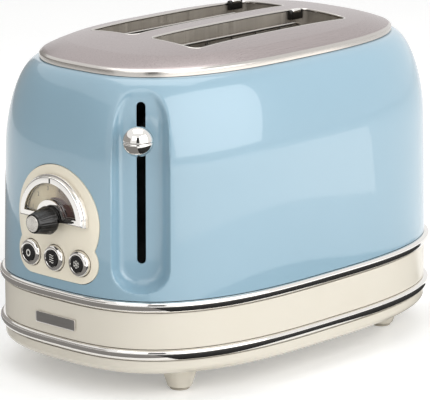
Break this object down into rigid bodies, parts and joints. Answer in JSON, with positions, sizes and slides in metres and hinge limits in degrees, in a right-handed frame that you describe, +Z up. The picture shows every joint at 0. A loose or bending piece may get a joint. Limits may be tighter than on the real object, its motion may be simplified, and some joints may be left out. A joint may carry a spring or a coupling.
{
  "type": "retro toaster",
  "caption": "Retro toaster with two long bread slots, a rounded pastel shell, chrome bands, an end control panel with a browning dial and push buttons, and a ball lever.",
  "frame": {"origin": "centre of the bounding box on the supporting surface, under the middle of the length with the knob included", "axes": "+Z up, +X along the length away from the controls, so the controls are at the -X end; the lever is at the corner towards -Y"},
  "size_m": [0.3068, 0.192, 0.2043],
  "materials": {
    "sky_enamel": "gloss",
    "cream_plastic": "semi-gloss",
    "satin_steel": "satin",
    "chrome": "polished",
    "scale_card": "matt",
    "clear_lens": "clear",
    "black_plastic": "satin",
    "sheet_steel": "plated",
    "board_laminate": "matt",
    "badge_metal": "satin",
    "magnet_iron": "matt",
    "mica": "matt",
    "pad_rubber": "matt"
  },
  "bodies": {
    "housing": {"body_shell": "sky_enamel", "top_plate": "satin_steel", "base_housing": "cream_plastic", "bottom_pan": "cream_plastic", "upper_band": "chrome", "lower_band": "chrome", "control_panel": "cream_plastic", "dial_bezel": "chrome", "dial_scale": "scale_card", "dial_window": "clear_lens", "timer_potentiometer": "black_plastic", "circuit_board": "board_laminate", "badge_plate": "badge_metal", "holding_magnet": "magnet_iron", "guide_rod": "chrome", "lift_spring": "sheet_steel", "chassis_floor": "sheet_steel", "front_frame": "sheet_steel", "reflector_wrap": "sheet_steel", "heater_left": "mica", "heater_centre": "mica", "heater_right": "mica", "cord_gland": "black_plastic", "foot_front_left": "cream_plastic", "foot_pad_front_left": "pad_rubber", "base_screw_front_left": "sheet_steel", "foot_front_right": "cream_plastic", "foot_pad_front_right": "pad_rubber", "base_screw_front_right": "sheet_steel", "foot_rear_left": "cream_plastic", "foot_pad_rear_left": "pad_rubber", "base_screw_rear_left": "sheet_steel", "foot_rear_right": "cream_plastic", "foot_pad_rear_right": "pad_rubber", "base_screw_rear_right": "sheet_steel", "push_switch_cancel": "black_plastic", "push_switch_reheat": "black_plastic", "push_switch_defrost": "black_plastic"},
    "lever": {"lever_ball": "chrome", "lever_arm": "sheet_steel", "carriage": "sheet_steel", "latch_plate": "sheet_steel", "bread_rest_left": "sheet_steel", "bread_rest_right": "sheet_steel"},
    "dial": {"browning_knob": "black_plastic", "knob_cap": "chrome", "knob_pointer": "black_plastic", "potentiometer_shaft": "sheet_steel"},
    "tray": {"crumb_tray": "sheet_steel", "tray_handle": "cream_plastic"},
    "button_cancel": {"button_cancel": "chrome", "button_insert_cancel": "black_plastic"},
    "button_reheat": {"button_reheat": "chrome", "button_insert_reheat": "black_plastic"},
    "button_defrost": {"button_defrost": "chrome", "button_insert_defrost": "black_plastic"},
    "bread_guide_left_outer": {"bread_guide_left_outer": "chrome"},
    "bread_guide_left_inner": {"bread_guide_left_inner": "chrome"},
    "bread_guide_right_outer": {"bread_guide_right_outer": "chrome"},
    "bread_guide_right_inner": {"bread_guide_right_inner": "chrome"}
  },
  "joints": [
    {"name": "lever_slide", "type": "slide", "parent": "housing", "child": "lever", "axis": [0, 0, 1], "range_m": [-0.07, 0.012], "stiffness_N_per_m": 60, "springref_m": 0.021, "deforming": ["lift_spring"]},
    {"name": "browning_turn", "type": "hinge", "parent": "housing", "child": "dial", "pos_m": [-0.1416, 0, 0.1042], "axis": [-1, 0, 0], "range_deg": [0, 172]},
    {"name": "tray_slide", "type": "slide", "parent": "housing", "child": "tray", "axis": [1, 0, 0], "range_m": [0, 0.19]},
    {"name": "cancel_press", "type": "slide", "parent": "housing", "child": "button_cancel", "axis": [1, 0, 0], "range_m": [0, 0.0015], "stiffness_N_per_m": 400},
    {"name": "reheat_press", "type": "slide", "parent": "housing", "child": "button_reheat", "axis": [1, 0, 0], "range_m": [0, 0.0015], "stiffness_N_per_m": 400},
    {"name": "defrost_press", "type": "slide", "parent": "housing", "child": "button_defrost", "axis": [1, 0, 0], "range_m": [0, 0.0015], "stiffness_N_per_m": 400},
    {"name": "left_outer_lean", "type": "hinge", "parent": "housing", "child": "bread_guide_left_outer", "pos_m": [0.0084, 0.04175, 0.049], "axis": [1, 0, 0], "range_deg": [-0.87, 4.6]},
    {"name": "left_inner_lean", "type": "hinge", "parent": "housing", "child": "bread_guide_left_inner", "pos_m": [0.0084, 0.00975, 0.049], "axis": [1, 0, 0], "range_deg": [-4.6, 0.87]},
    {"name": "right_outer_lean", "type": "hinge", "parent": "housing", "child": "bread_guide_right_outer", "pos_m": [0.0084, -0.04175, 0.049], "axis": [1, 0, 0], "range_deg": [-4.6, 0.87]},
    {"name": "right_inner_lean", "type": "hinge", "parent": "housing", "child": "bread_guide_right_inner", "pos_m": [0.0084, -0.00975, 0.049], "axis": [1, 0, 0], "range_deg": [-0.87, 4.6]}
  ],
  "couplings": [
    {"joint": "left_outer_lean", "follows": "lever_slide", "rad_per_m": -1.122},
    {"joint": "left_inner_lean", "follows": "lever_slide", "rad_per_m": 1.122},
    {"joint": "right_outer_lean", "follows": "lever_slide", "rad_per_m": 1.122},
    {"joint": "right_inner_lean", "follows": "lever_slide", "rad_per_m": -1.122}
  ]
}
